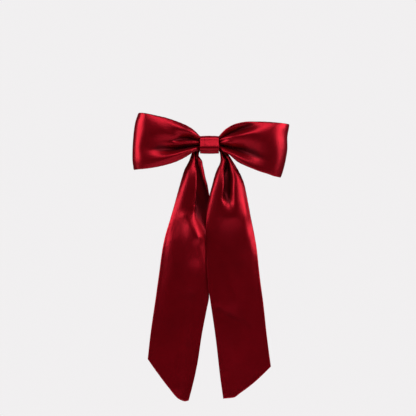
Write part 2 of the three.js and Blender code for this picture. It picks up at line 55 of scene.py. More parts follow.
# ------------------------------------------------------------------------------------------------- numeric helpers
def pchip(t, P, x):
    """Monotone cubic interpolation of the rows of P, given at t, at the points x."""
    t = np.asarray(t, float)
    P = np.asarray(P, float)
    x = np.clip(np.asarray(x, float), t[0], t[-1])
    flat = P.reshape(len(t), -1)
    h = np.diff(t)[:, None]
    d = np.diff(flat, axis=0) / h
    m = np.zeros_like(flat)
    if len(t) == 2:
        m[:] = d[0]
    else:
        same = (d[:-1] * d[1:]) > 0
        w1 = 2 * h[1:] + h[:-1]
        w2 = h[1:] + 2 * h[:-1]
        with np.errstate(divide="ignore", invalid="ignore"):
            inner = (w1 + w2) / (w1 / d[:-1] + w2 / d[1:])
        m[1:-1] = np.where(same, inner, 0.0)
        m[0] = d[0]
        m[-1] = d[-1]
    i = np.clip(np.searchsorted(t, x, side="right") - 1, 0, len(t) - 2)
    s = ((x - t[i]) / (t[i + 1] - t[i]))[:, None]
    hh = (t[i + 1] - t[i])[:, None]
    out = (
        (2 * s**3 - 3 * s**2 + 1) * flat[i]
        + (s**3 - 2 * s**2 + s) * hh * m[i]
        + (-2 * s**3 + 3 * s**2) * flat[i + 1]
        + (s**3 - s**2) * hh * m[i + 1]
    )
    return out.reshape((len(x),) + P.shape[1:])


def curve(table, x):
    """One number from a table of (x, value) pairs."""
    a = np.asarray(table, float)
    return pchip(a[:, 0], a[:, 1:], np.atleast_1d(x))[:, 0]


def catmull(P, per=14):
    """A smooth line through the points P."""
    P = np.asarray(P, float)
    Q = np.vstack([2 * P[0] - P[1], P, 2 * P[-1] - P[-2]])
    out = []
    for i in range(1, len(Q) - 2):
        s = np.linspace(0, 1, per, endpoint=False)[:, None]
        p0, p1, p2, p3 = Q[i - 1], Q[i], Q[i + 1], Q[i + 2]
        out.append(
            0.5
            * (
                2 * p1
                + (p2 - p0) * s
                + (2 * p0 - 5 * p1 + 4 * p2 - p3) * s**2
                + (3 * p1 - p0 - 3 * p2 + p3) * s**3
            )
        )
    out.append(P[-1][None])
    return np.vstack(out)


def even(P, u):
    """The line P at the shares u of its length."""
    seg = np.linalg.norm(np.diff(P, axis=0), axis=1)
    s = np.concatenate([[0], np.cumsum(seg)])
    return np.stack([np.interp(np.asarray(u) * s[-1], s, P[:, k]) for k in range(P.shape[1])], axis=1)


def blur(A, sigma, axis=0, wrap=False, keep_ends=True):
    """Gaussian smoothing of A along one axis, with sigma in samples."""
    if sigma <= 0:
        return A
    r = int(3 * sigma + 1)
    k = np.exp(-0.5 * (np.arange(-r, r + 1) / sigma) ** 2)
    k /= k.sum()
    A = np.moveaxis(A, axis, 0)
    if wrap:
        pad = np.concatenate([A[-r:], A, A[:r]])
    else:
        # reflect through the end point, so that the ends stay where they are
        pad = np.concatenate([2 * A[0] - A[r:0:-1], A, 2 * A[-1] - A[-2 : -r - 2 : -1]])
    out = sum(k[i] * pad[i : i + len(A)] for i in range(2 * r + 1))
    return np.moveaxis(out, 0, axis)


def clustered(n, near0, near1, length, r):
    """n shares of 0..1, with extra ones inside r of each end that is asked for."""
    edge = np.array([0, 0.06, 0.2, 0.42, 0.7, 1.0]) * r / length
    core = np.linspace(r / length if near0 else 0, 1 - r / length if near1 else 1, n)
    u = core
    if near0:
        u = np.concatenate([edge[:-1], u])
    if near1:
        u = np.concatenate([u, (1 - edge[:-1])[::-1]])
    return u


def value_noise(x, y, seed):
    """Smooth seeded noise in -1..1."""
    rng = np.random.default_rng(seed)
    g = rng.uniform(-1, 1, (64, 64))
    xi = np.floor(x).astype(int)
    yi = np.floor(y).astype(int)
    fx = x - xi
    fy = y - yi
    fx = fx * fx * (3 - 2 * fx)
    fy = fy * fy * (3 - 2 * fy)
    a = g[xi % 64, yi % 64]
    b = g[(xi + 1) % 64, yi % 64]
    c = g[xi % 64, (yi + 1) % 64]
    d = g[(xi + 1) % 64, (yi + 1) % 64]
    return (a * (1 - fx) + b * fx) * (1 - fy) + (c * (1 - fx) + d * fx) * fy


def grid_normals(P, wrap_s):
    if wrap_s:
        ds = np.roll(P, -1, 0) - np.roll(P, 1, 0)
    else:
        ds = np.gradient(P, axis=0)
    du = np.gradient(P, axis=1)
    n = np.cross(ds, du)
    l = np.linalg.norm(n, axis=2, keepdims=True)
    return n / np.maximum(l, 1e-9)


# crease depth in mm that gives the full painted crease shade
FOLD_MM = 1.05


def fold_depth(P, N, wrap_s):
    """How far each point lies below the cloth around it, in mm, seen from the side that N points to."""
    out = np.zeros(P.shape[:2])
    for across, along, gain in ((4, 3, 1.0), (9, 6, 0.5), (15, 9, 0.22)):
        out += gain * ((blur(blur(P, across, axis=1), along, axis=0, wrap=wrap_s) - P) * N).sum(axis=2)
    return out


def cloth_mesh(name, P, U, S, thick, wrap_s, flip=False, rim=0.6):
    """A closed double-ply sheet from the grid P[s, u] in mm. U and S are each point's place on the flat ribbon in mm, and
    thick its thickness. Thickness runs to nothing along the edges on a round profile, so the edges are rounded."""
    ns, nu = P.shape[:2]
    N = grid_normals(P, wrap_s)
    width = U.max()
    e = np.minimum(U, width - U)
    if not wrap_s:
        e = np.minimum(e, S.max(axis=0, keepdims=True) - S)
        e = np.minimum(e, S - S.min(axis=0, keepdims=True))
    r = rim
    k = np.sqrt(np.clip(1 - (1 - np.clip(e / r, 0, 1)) ** 2, 0, 1))
    half = 0.5 * thick * k
    A = P + N * half[..., None]
    B = P - N * half[..., None]
    edge = np.zeros((ns, nu), bool)
    edge[:, 0] = edge[:, -1] = True
    if not wrap_s:
        edge[0, :] = edge[-1, :] = True
    ia = np.arange(ns * nu).reshape(ns, nu)
    ib = ia.copy()
    inner = ~edge
    ib[inner] = ns * nu + np.arange(inner.sum())
    verts = np.vstack([A.reshape(-1, 3), B[inner]]) * MM
    faces = []
    last = ns if wrap_s else ns - 1
    for i in range(last):
        i2 = (i + 1) % ns
        for j in range(nu - 1):
            a = (ia[i, j], ia[i2, j], ia[i2, j + 1], ia[i, j + 1])
            b = (ib[i, j + 1], ib[i2, j + 1], ib[i2, j], ib[i, j])
            faces.append(a if not flip else a[::-1])
            faces.append(b if not flip else b[::-1])
    me = bpy.data.meshes.new(name)
    me.from_pydata(verts.tolist(), [], [tuple(map(int, f)) for f in faces])
    me.update()
    # the creases' depth, 0..1, the mask for the painted shade that darkens the colour down in them
    deep = fold_depth(P, N, wrap_s)
    crease_shade = np.concatenate([np.clip(deep / FOLD_MM, 0, 1).reshape(-1), np.clip(-deep / FOLD_MM, 0, 1)[inner]])
    me.attributes.new("fold", "FLOAT", "POINT").data.foreach_set("value", crease_shade.astype(np.float32))
    uv = me.uv_layers.new(name="cloth")
    flat_u = np.concatenate([U.reshape(-1), U[inner]])
    flat_s = np.concatenate([S.reshape(-1), S[inner]])
    loops = np.empty(len(me.loops), int)
    me.loops.foreach_get("vertex_index", loops)
    uu = flat_u[loops]
    ss = flat_s[loops]
    if wrap_s:
        # the seam of the closed ring: its last column of faces runs on, and doesn't jump back
        total = S.max() + (S[1, 0] - S[0, 0])
        starts = np.empty(len(me.polygons), int)
        me.polygons.foreach_get("loop_start", starts)
        sf = ss.reshape(-1, 4)
        jump = (sf.max(axis=1) - sf.min(axis=1)) > total / 2
        sf[jump] = np.where(sf[jump] < total / 2, sf[jump] + total, sf[jump])
        ss = sf.reshape(-1)
    uv.data.foreach_set("uv", np.stack([uu * 0.01, ss * 0.01], axis=1).astype(np.float32).reshape(-1))
    me.polygons.foreach_set("use_smooth", [True] * len(me.polygons))
    ob = bpy.data.objects.new(name, me)
    bpy.context.scene.collection.objects.link(ob)
    # faces outwards
    import bmesh

    bm = bmesh.new()
    bm.from_mesh(me)
    if bm.calc_volume(signed=True) < 0:
        bmesh.ops.reverse_faces(bm, faces=bm.faces)
        bm.to_mesh(me)
    bm.free()
    return ob


def puckers(P, U, S, wrap_s, amount, seed, wave=5.2, reach=2.6):
    """Small waves that the seam draws into the edges of a turned ribbon."""
    N = grid_normals(P, wrap_s)
    width = U.max()
    e0 = U
    e1 = width - U
    phase = 2.2 * value_noise(S / 11.0, np.zeros_like(S) + 3.3, seed)
    size = 0.6 + 0.4 * value_noise(S / 17.0, np.zeros_like(S) + 9.1, seed + 1)
    wob0 = np.sin(2 * math.pi * S / wave + phase)
    wob1 = np.sin(2 * math.pi * S / (wave * 1.13) - phase + 1.0)
    w = wob0 * np.exp(-((e0 / reach) ** 2)) + wob1 * np.exp(-((e1 / reach) ** 2))
    return P + N * (amount * size * w)[..., None]


def ripple(P, U, S, wrap_s, amount, seed, across=21.0, along=34.0, fade=None):
    """Very low waves that a handled ribbon keeps."""
    N = grid_normals(P, wrap_s)
    w = value_noise(U / across + 5, S / along + 7, seed) + 0.45 * value_noise(U / (across * 0.45), S / (along * 0.4), seed + 5)
    if fade is not None:
        w = w * fade
    return P + N * (amount * w)[..., None]


# ------------------------------------------------------------------------------------------------------ loop ring
LOOP_W = 57.0
T_CLOTH = 1.05

LOBES = {
    1: dict(
        top=[(0, 6.2), (7, 6.4), (9.9, 8.7), (13.1, 12.5), (19.1, 17.2), (28, 21.4), (39.7, 23.4), (51.6, 23.2), (66.5, 22.3), (82, 21.2)],
        bottom=[(0, -5.2), (6, -4.6), (9.8, -4.0), (13.5, -7.0), (17, -8.4), (22, -11.8), (28.5, -17.8), (36.8, -21.9), (45.7, -25.4), (54.6, -28.4), (63.5, -30.6), (73, -33.1), (82, -34.4)],
        # (z, how much further out the end of the loop is there)
        end=[(-34, -6.2), (-29.5, -4.5), (-15, -1.5), (-3, 0.4), (6, 0.3), (20, 2.6), (22, 2.8)],
        path=[(0, -14.9), (6, -14.9), (9.7, -15.1), (13, -17.2), (18, -19.6), (25, -21.2), (35, -22.0), (47, -22.3), (57, -22.0), (65, -20.9), (71.2, -18.6), (75.4, -15.2), (78.2, -11.4), (79.6, -7.9), (79.3, -5.4), (77.3, -4.0), (73, -3.9), (66, -4.3), (52, -4.9), (38, -6.3), (26, -8.6), (17, -11.0), (12, -12.0), (8, -12.3), (0, -12.3)],
        apex=79.8,
        crown=[(0, 0), (9.7, 0.2), (15, 0.8), (24, 1.8), (38, 2.3), (52, 2.3), (66, 2.0), (75, 1.2), (80, 0.6)],
        valleys=[
            dict(
                z=[(0, 4.4), (9.7, 5.3), (13, 7.6), (20, 10.8), (31, 14.6), (42, 17.8), (52, 19.6)],
                depth=[(0, 1.0), (9.0, 1.4), (13, 4.2), (20, 6.8), (31, 6.0), (42, 3.0), (50, 1.0), (60, 0)],
                width=[(0, 0.9), (9.7, 1.0), (15, 1.8), (20, 2.4), (31, 3.3), (42, 4.0), (52, 5)],
            ),
            dict(
                z=[(0, -0.6), (9.7, -0.6), (15, -2.0), (20, -3.2), (31, -5.6), (42, -8.4), (55, -13.0), (67, -18.0)],
                skew=(1.35, 1.25),
                depth=[(0, 1.0), (9.0, 1.4), (13, 4.4), (20, 7.4), (31, 8.2), (42, 6.4), (55, 3.6), (66, 1.4), (73, 0)],
                width=[(0, 0.8), (9.7, 0.9), (15, 1.7), (20, 2.4), (31, 3.8), (42, 5.6), (55, 7.6), (67, 9)],
            ),
            dict(
                z=[(0, 2.0), (9.7, 2.5), (15, 4.2), (20, 4.8), (28, 5.4)],
                depth=[(0, 0.7), (9.0, 0.9), (13, 1.6), (20, 1.2), (28, 0.2), (32, 0)],
                width=[(0, 0.7), (9.7, 0.8), (15, 1.2), (20, 1.8), (28, 2.4)],
            ),
        ],
    ),
    -1: dict(
        top=[(0, 6.2), (7, 6.4), (9.8, 8.7), (12.1, 11.7), (20.5, 17.9), (34.5, 23.9), (45.7, 27.3), (56.9, 29.4), (66, 31.2), (72.9, 32.4), (79, 33.0)],
        bottom=[(0, -5.2), (6, -5.4), (9.8, -5.9), (16, -7.7), (20.5, -10.7), (26.1, -14.0), (36.2, -18.6), (45.7, -21.4), (56.9, -23.9), (66, -25.2), (79, -26.2)],
        end=[(-26, 0.2), (-25, 0.3), (-15, 1.0), (-4, 0.8), (12.8, -0.3), (23.9, -2.0), (32.4, -4.7), (33.5, -5.0)],
        path=[(0, -14.9), (6, -14.9), (9.7, -15.1), (13, -17.2), (18, -19.6), (25, -21.2), (35, -22.0), (47, -22.3), (58, -22.1), (66.2, -21.4), (71.4, -19.8), (74.8, -16.8), (76.9, -12.6), (77.7, -8.8), (77.2, -5.8), (75.2, -4.4), (70, -4.1), (62, -4.4), (50, -4.9), (38, -6.3), (26, -8.6), (17, -11.0), (12, -12.0), (8, -12.3), (0, -12.3)],
        apex=77.7,
        crown=[(0, 0), (9.7, 0.2), (15, 0.8), (24, 1.8), (38, 2.4), (52, 2.4), (66, 2.2), (74, 1.4), (78, 0.8)],
        valleys=[
            dict(
                z=[(0, 3.4), (9.7, 3.9), (15, 4.7), (20, 5.0), (28, 4.8), (36, 4.6), (46, 5.0)],
                skew=(1.6, 0.65),
                depth=[(0, 1.0), (9.0, 1.4), (13, 4.4), (20, 7.4), (28, 7.6), (35, 5.0), (42, 2.2), (50, 0.6), (56, 0)],
                width=[(0, 0.9), (9.7, 1.0), (15, 1.7), (20, 2.3), (28, 3.1), (36, 3.8), (48, 5)],
            ),
            dict(
                z=[(0, -0.8), (9.7, -1.0), (15, -1.8), (20, -2.6), (28, -3.8), (36, -4.6), (45, -4.6), (53, -4.4), (62, -4.4)],
                skew=(1.2, 0.75),
                depth=[(0, 1.0), (9.0, 1.4), (13, 4.4), (20, 7.4), (28, 8.6), (36, 8.2), (45, 6.4), (54, 3.8), (64, 1.4), (72, 0)],
                width=[(0, 0.8), (9.7, 0.9), (15, 1.6), (20, 2.2), (28, 3.2), (36, 4.4), (45, 6.2), (54, 8), (64, 9)],
            ),
        ],
    ),
}


def lobe_half(side, u):
    """The grid of one lobe, from the knot's middle along the front, round the end and back again."""
    L = LOBES[side]
    path = catmull(np.array(L["path"], float), 10)
    path = even(path, np.linspace(0, 1, 165))
    tan = np.gradient(path, axis=0)
    tan /= np.linalg.norm(tan, axis=1, keepdims=True)
    # outward of the ring: to -Y along the front, +X round the end and +Y along the back
    nor = np.stack([tan[:, 1], -tan[:, 0]], axis=1)
    i_end = int(np.argmax(path[:, 0]))
    rows = []
    for i, (px, py) in enumerate(path):
        front = i <= i_end
        zt = curve(L["top"], px)[0]
        zb = curve(L["bottom"], px)[0]
        if not front:
            # the back layer lies a little inside the front one's outline
            inset = 0.9 * min(1.0, (L["apex"] - px) / 8.0)
            zt -= inset
            zb += inset
        z = np.linspace(zb, zt, 260)
        e = 2 * (z - zb) / (zt - zb) - 1
        crown = curve(L["crown"], px)[0] * (1.0 if front else 0.35)
        d = crown * (1 - np.abs(e) ** 4)
        for k, V in enumerate(L["valleys"]):
            dep = curve(V["depth"], px)[0]
            if not front:
                dep *= 0.12 + 0.33 * min(1.0, max(0.0, (px - 30) / 20))
            c = curve(V["z"], px)[0]
            w = curve(V["width"], px)[0] * (1.0 if front else 1.3)
            # the wall above each valley is long and faces down, the one below it is short
            up, down = V.get("skew", (1.4, 0.8))
            q = np.abs(z - c) / np.where(z > c, up * w, down * w)
            # a rounded valley with crests at its sides
            d -= dep * (np.exp(-(q**1.8)) - 0.28 * np.exp(-((q - 2.1) ** 2) / 0.9))
        # the last few millimetres turn back a little, except at the end fold
        lip = min(1.0, max(0.0, (L["apex"] - px - 4) / 14.0)) * min(1.0, px / 14.0)
        d -= lip * (1.5 * np.exp(-((zt - z) / 2.2)) + 1.2 * np.exp(-((z - zb) / 2.4)))
        sec = np.stack([z, d], axis=1)
        sec = even(sec, u)
        sec = blur(sec, 1.2)
        zz = sec[:, 0]
        dd = sec[:, 1]
        shear = curve(L["end"], np.clip(zz, L["end"][0][0], L["end"][-1][0]))
        f = np.clip((px - 26) / (L["apex"] - 26), 0, 1)
        f = f * f * (3 - 2 * f)
        x = px + nor[i, 0] * dd + shear * f
        y = py + nor[i, 1] * dd
        rows.append(np.stack([side * x, y, zz], axis=1))
    return np.array(rows)


u_loop = clustered(98, True, True, LOOP_W, 0.6)
right = lobe_half(1, u_loop)
left = lobe_half(-1, u_loop)
ring = np.concatenate([right[:-1], left[::-1][:-1]])
for _ in range(2):
    ring = blur(ring, 1.2, axis=0, wrap=True)
step = np.linalg.norm(np.roll(ring, -1, 0) - ring, axis=2).mean(axis=1)
s_ring = np.concatenate([[0], np.cumsum(step)[:-1]])
U_ring = np.broadcast_to(u_loop * LOOP_W, ring.shape[:2]).copy()
S_ring = np.broadcast_to(s_ring[:, None], ring.shape[:2]).copy()
away = np.clip((np.abs(ring[..., 0]) - 14) / 16, 0, 1)
ring = ripple(ring, U_ring, S_ring, True, 0.32, 11, fade=away)
ring = puckers(ring, U_ring, S_ring, True, 0.10, 21)
t_ring = T_CLOTH * (0.55 + 0.45 * np.clip((np.abs(ring[..., 0]) - 10) / 14, 0, 1))
seam_e = np.minimum(U_ring, LOOP_W - U_ring)
t_ring = t_ring * (1 + 0.22 * np.exp(-(((seam_e - 1.6) / 1.1) ** 2)))
loops = cloth_mesh("loops_satin", ring, U_ring, S_ring, t_ring, True)


# ----------------------------------------------------------------------------------------------------------- tails
TAIL_W = 53.5

# Sections of the tails: (z, [(x, y), ...]) from one edge of the ribbon to the other
LEFT = [
    (-18, [(-21.6, -8.6), (-20.2, -10.9), (-17.7, -12.3), (-15.6, -12.4), (-14.6, -11.5), (-15.4, -10.4), (-18.0, -9.6), (-19.2, -8.8), (-17.8, -7.9), (-13.0, -7.4), (-9.2, -7.5), (-7.2, -8.4), (-6.9, -9.6), (-8.2, -10.7), (-10.2, -11.0), (-12.0, -10.8)]),
    (-25, [(-25.5, -8.2), (-23.6, -11.2), (-20.2, -13.2), (-16.0, -13.8), (-13.9, -13.6), (-13.3, -12.8), (-14.6, -11.7), (-18.4, -10.2), (-20.6, -8.9), (-19.0, -7.7), (-13.7, -6.9), (-9.2, -6.9), (-6.6, -7.8), (-5.9, -9.2), (-7.2, -10.5), (-9.9, -10.9)]),
    (-34, [(-28.3, -8.0), (-26.0, -11.2), (-21.9, -13.5), (-16.8, -14.1), (-13.8, -13.9), (-13.1, -13.0), (-14.4, -11.7), (-18.6, -9.9), (-20.5, -8.5), (-19.0, -7.3), (-13.6, -6.4), (-8.3, -6.3), (-5.2, -7.2), (-4.3, -8.6), (-5.4, -9.8), (-7.7, -10.2)]),
    (-44, [(-31.2, -8.0), (-28.6, -11.2), (-23.8, -13.5), (-17.8, -14.2), (-13.9, -13.9), (-13.1, -12.9), (-14.4, -11.5), (-17.8, -9.7), (-19.0, -8.3), (-17.0, -7.2), (-11.6, -6.3), (-5.9, -6.2), (-2.5, -7.0), (-1.5, -8.2), (-2.2, -9.2), (-3.9, -9.6)]),
    (-54, [(-34.0, -8.0), (-31.0, -11.0), (-25.6, -13.4), (-19.2, -14.2), (-14.9, -14.1), (-13.7, -13.2), (-14.2, -11.8), (-16.4, -9.8), (-17.2, -8.4), (-14.9, -7.3), (-9.6, -6.4), (-4.0, -6.3), (-0.9, -6.9), (-0.1, -7.7), (-0.6, -8.6)]),
    (-64, [(-36.8, -8.0), (-33.4, -10.9), (-27.6, -13.2), (-21.0, -14.2), (-16.4, -14.1), (-14.8, -13.2), (-14.2, -11.6), (-14.8, -9.9), (-14.5, -8.7), (-11.8, -7.6), (-7.6, -6.9), (-3.8, -6.8), (-1.9, -7.2), (-1.4, -7.9)]),
    (-72, [(-39.2, -8.0), (-35.6, -10.4), (-29.4, -12.4), (-22.6, -13.6), (-18.2, -13.8), (-15.8, -13.1), (-14.0, -11.2), (-12.0, -9.6), (-9.0, -8.5), (-5.8, -7.8), (-3.6, -7.6), (-2.4, -7.9)]),
    (-80, [(-41.5, -8.0), (-37.8, -10.2), (-31.2, -12.2), (-24.4, -14.2), (-19.2, -15.0), (-15.6, -14.5), (-12.8, -13.0), (-10.2, -11.3), (-7.6, -9.8), (-5.2, -8.7), (-3.8, -8.2), (-2.9, -8.2)]),
    (-88, [(-44.0, -8.1), (-39.8, -10.0), (-33.2, -11.9), (-26.4, -14.3), (-20.6, -16.5), (-15.8, -16.9), (-12.2, -15.8), (-9.2, -13.7), (-6.8, -11.5), (-4.9, -9.8), (-3.8, -8.8), (-3.1, -8.4)]),
    (-96, [(-46.2, -8.1), (-41.4, -9.9), (-34.6, -11.7), (-27.4, -14.2), (-21.0, -16.8), (-15.8, -17.8), (-11.6, -16.8), (-8.4, -14.4), (-6.0, -12.0), (-4.2, -9.9), (-3.1, -8.8)]),
    (-105, [(-48.2, -8.2), (-43.0, -9.8), (-35.4, -11.6), (-27.4, -14.0), (-20.2, -16.4), (-14.2, -17.0), (-9.6, -15.4), (-6.2, -12.6), (-4.0, -10.2), (-2.8, -8.9)]),
    (-116, [(-50.0, -8.3), (-43.5, -9.8), (-35.0, -11.4), (-26.0, -13.6), (-18.0, -15.2), (-11.6, -14.8), (-6.8, -12.4), (-2.6, -9.2)]),
    (-130, [(-51.8, -8.4), (-45.0, -9.7), (-35.0, -11.1), (-24.0, -12.7), (-14.5, -13.0), (-7.4, -11.2), (-1.8, -8.6)]),
    (-148, [(-54.3, -8.8), (-46.0, -9.9), (-34.0, -10.9), (-21.0, -11.6), (-10.0, -10.6), (-0.3, -8.6)]),
    (-158, [(-55.6, -9.0), (-46.0, -10.0), (-34.0, -10.6), (-20.0, -10.6), (-8.8, -9.9), (-0.3, -8.8)]),
    (-166, [(-56.8, -9.2), (-46.0, -10.1), (-34.0, -10.6), (-20.0, -10.6), (-9.6, -10.0), (-1.9, -9.2)]),
    (-200, [(-61.6, -9.6), (-50.0, -10.6), (-36.0, -11.0), (-20.0, -10.8), (-8.4, -10.2)]),
    (-222, [(-64.0, -9.6), (-52.0, -10.9), (-36.0, -11.2), (-22.0, -11.0), (-11.6, -10.5)]),
    (-240, [(-66.4, -10.2), (-50.0, -11.1), (-34.0, -11.3), (-24.0, -11.0), (-15.2, -10.7)]),
    (-270, [(-70.0, -10.8), (-50.0, -11.3), (-36.0, -11.4), (-28.0, -11.2), (-22.8, -10.9)]),
]
LEFT_END = [(0, -222), (0.22, -235.2), (0.5, -250.6), (0.8, -263.6), (0.93, -265.5), (1.0, -264.6)]

RIGHT = [
    (-18, [(11.6, -9.4), (12.1, -11.4), (13.8, -12.9), (15.8, -12.9), (16.9, -11.8), (16.9, -9.8), (17.2, -8.2), (18.4, -7.4), (19.7, -8.2), (20.2, -10.0), (20.6, -12.0), (21.8, -13.2), (23.0, -12.8), (24.0, -11.4), (24.6, -9.6)]),
    (-25, [(8.0, -9.7), (9.0, -12.2), (11.3, -14.2), (13.4, -14.2), (14.6, -12.8), (14.9, -9.8), (16.2, -7.2), (18.4, -6.2), (20.4, -7.2), (21.3, -9.8), (21.9, -12.9), (23.6, -14.8), (26.0, -14.3), (27.9, -12.4), (28.8, -9.9)]),
    (-34, [(5.0, -9.9), (6.6, -12.6), (9.2, -14.6), (12.0, -15.1), (14.0, -14.8), (14.6, -13.8), (13.4, -12.0), (12.4, -10.2), (13.4, -8.6), (16.0, -7.9), (19.0, -8.1), (21.4, -9.3), (23.2, -11.5), (24.6, -13.6), (26.4, -14.9), (29.0, -14.2), (31.6, -12.3), (33.3, -9.9)]),
    (-42, [(3.0, -10.1), (4.8, -12.8), (8.0, -14.7), (11.4, -15.4), (13.8, -15.2), (14.7, -14.3), (13.8, -12.6), (12.7, -10.8), (13.4, -9.4), (15.8, -8.7), (19.0, -8.9), (21.4, -10.2), (23.2, -12.2), (24.6, -14.1), (26.2, -15.2), (28.6, -14.8), (31.0, -13.5), (33.4, -11.9), (35.1, -10.6), (36.2, -9.2)]),
    (-50, [(0.8, -10.3), (2.6, -12.6), (6.0, -14.5), (9.8, -15.4), (12.6, -15.3), (13.9, -14.4), (13.6, -12.8), (13.2, -11.2), (14.2, -10.0), (16.4, -9.4), (19.4, -9.6), (21.6, -10.9), (23.4, -13.0), (24.8, -14.8), (26.6, -15.6), (28.9, -15.1), (31.4, -13.8), (34.2, -12.0), (36.6, -10.3), (37.9, -8.9)]),
    (-54, [(0.0, -10.35), (2.0, -12.5), (5.5, -14.3), (9.2, -15.2), (12.0, -15.0), (13.6, -13.8), (14.2, -12.1), (15.6, -10.8), (18.0, -10.2), (20.6, -10.8), (22.6, -12.5), (24.4, -14.4), (26.6, -15.7), (29.4, -15.1), (32.0, -13.8), (34.9, -12.0), (37.4, -10.1), (38.8, -8.7)]),
    (-60, [(-1.2, -10.45), (1.0, -12.3), (4.8, -14.1), (8.9, -15.1), (12.6, -14.9), (15.4, -13.7), (17.8, -12.6), (20.2, -12.3), (22.4, -13.0), (24.4, -14.5), (26.4, -15.8), (28.4, -15.8), (31.0, -14.9), (33.6, -13.5), (36.4, -11.6), (38.6, -9.7), (39.9, -8.4)]),
    (-66, [(-2.3, -10.55), (0.2, -12.1), (4.6, -13.8), (9.4, -15.1), (14.0, -15.6), (18.0, -15.3), (21.0, -15.3), (24.0, -15.9), (27.0, -16.4), (30.4, -15.7), (33.6, -14.3), (37.0, -12.2), (39.6, -9.8), (41.1, -8.1)]),
    (-73, [(-3.1, -10.6), (-0.1, -12.1), (4.8, -13.7), (10.0, -15.2), (15.0, -16.5), (20.0, -17.1), (25.0, -17.1), (31.0, -15.9), (36.4, -13.6), (40.3, -10.4), (42.4, -7.8)]),
    (-80, [(-3.5, -10.8), (0.6, -12.1), (7.6, -13.8), (15.6, -15.5), (24.0, -15.8), (31.0, -14.9), (37.4, -12.8), (41.6, -9.9), (43.9, -7.2)]),
    (-92, [(-3.8, -10.8), (2.0, -11.9), (10.0, -13.0), (19.0, -13.6), (28.0, -13.6), (36.2, -12.6), (42.4, -10.4), (46.4, -7.2)]),
    (-108, [(-3.6, -10.8), (4.0, -11.7), (14.0, -12.4), (25.0, -12.7), (35.5, -12.1), (43.6, -10.4), (49.1, -7.6)]),
    (-130, [(-2.4, -10.8), (10.0, -11.5), (25.0, -11.7), (40.0, -10.2), (51.5, -7.8)]),
    (-148, [(-1.1, -10.7), (12.0, -11.2), (27.0, -11.2), (42.0, -10.0), (53.7, -8.0)]),
    (-160, [(0.6, -10.4), (14.0, -10.8), (30.0, -10.7), (44.0, -9.7), (55.4, -8.2)]),
    (-200, [(6.4, -8.6), (20.0, -9.2), (34.0, -9.2), (48.0, -8.4), (59.8, -7.4)]),
    (-240, [(11.0, -7.2), (25.0, -7.7), (40.0, -7.8), (54.0, -7.2), (65.2, -6.4)]),
    (-270, [(15.2, -6.4), (30.0, -6.8), (46.0, -6.8), (58.0, -6.4), (69.4, -5.8)]),
]
RIGHT_END = [(0, -263.2), (0.2, -262.0), (0.35, -257.0), (0.62, -247.0), (1.0, -230.0)]


def zigzag(p0, p1, folds, depth, n=60):
    """A gathered section from p0 to p1: the ribbon in small pleats."""
    t = np.linspace(0, 1, n)[:, None]
    p = np.array(p0) * (1 - t) + np.array(p1) * t
    p[:, 1] += depth * np.sin(2 * math.pi * folds * t[:, 0] + 0.6)
    return p


BILLOW = {
    1: [(-15, 0), (-20, 0.6), (-28, 2.2), (-36, 3.7), (-46, 4.7), (-57, 4.6), (-74, 3.3), (-95, 1.6), (-125, 0.0), (-280, 0.0)],
    -1: [(-15, 0), (-20, 0.7), (-27, 2.4), (-34, 3.8), (-42, 4.4), (-50, 3.9), (-60, 2.4), (-70, 1.3), (-80, 1.0), (-96, 1.0), (-116, 0.4), (-130, 0.0), (-280, 0.0)],
}


def tail_grid(side, sections, end, u, start_x):
    """The tail's grid: out of the knot, over the bend and down."""
    outer_first = side < 0
    throat = []
    # (t, outer edge, inner edge) as (x, y, z); the outer edge is the ribbon's top edge inside the knot
    for t, po, pi, depth in [
        (0.0, (start_x, -9.2, 5.6), (start_x, -9.2, -6.0), 0.55),
        (3.0, (start_x + 2.4, -9.3, 4.4), (start_x + 1.0, -9.2, -6.8), 0.6),
        (7.0, (start_x + 5.4, -9.4, 0.2), (start_x + 1.6, -9.3, -8.6), 0.7),
        (11.0, (start_x + 8.0, -9.4, -5.6), (start_x + 1.9, -9.4, -11.0), 0.9),
    ]:
        a, b = (po, pi) if outer_first else (pi, po)
        p = zigzag(a, b, 2.5, depth)
        p[:, 0] *= side
        throat.append((t, even(p, u)))
    stations = list(throat)
    for z, pts in sections:
        c = catmull(np.array(pts, float), 16)
        c = even(c, u)
        c = blur(c, 1.3)
        # the front of the pleats comes forward most; the recessed layers and the outer edges follow less
        lift = curve([(-z_, v) for z_, v in BILLOW[side]], -z)[0]
        share = np.clip((-9.0 - c[:, 1]) / 4.0, 0, 1)
        share = 0.4 + 0.6 * share * share * (3 - 2 * share)
        c[:, 1] -= lift * blur(share, 2.0)
        stations.append((3.0 - z, np.column_stack([c, np.full(len(c), z)])))
    ts = np.array([s[0] for s in stations])
    C = np.array([s[1] for s in stations])
    t_end = 3.0 - curve(end, u)
    n_s = 236
    total = t_end.max()
    f = clustered(n_s, True, True, total, 0.6)
    T = f[:, None] * t_end[None, :]
    P = np.empty((len(f), len(u), 3))
    for j in range(len(u)):
        P[:, j] = pchip(ts, C[:, j], T[:, j])
    return P, T


# Long soft folds of the hanging cloth: (x, z) to (x, z), how far forward, and half width across
SOFT_FOLDS = {
    -1: [(-24, -74, -12, -95, 2.1, 6.2), (-38, -100, -47, -180, 1.1, 9.0), (-26, -168, -36, -250, 0.9, 8.0), (-14, -128, -22, -205, -0.7, 8.0)],
    1: [(9, -170, 42, -188, -0.8, 5.5), (40, -96, 52, -150, 0.8, 7.0), (12, -120, 26, -160, 0.9, 8.0), (62, -262, 36, -270, 3.4, 21.0), (22, -196, 34, -246, 0.9, 8.0)],
}


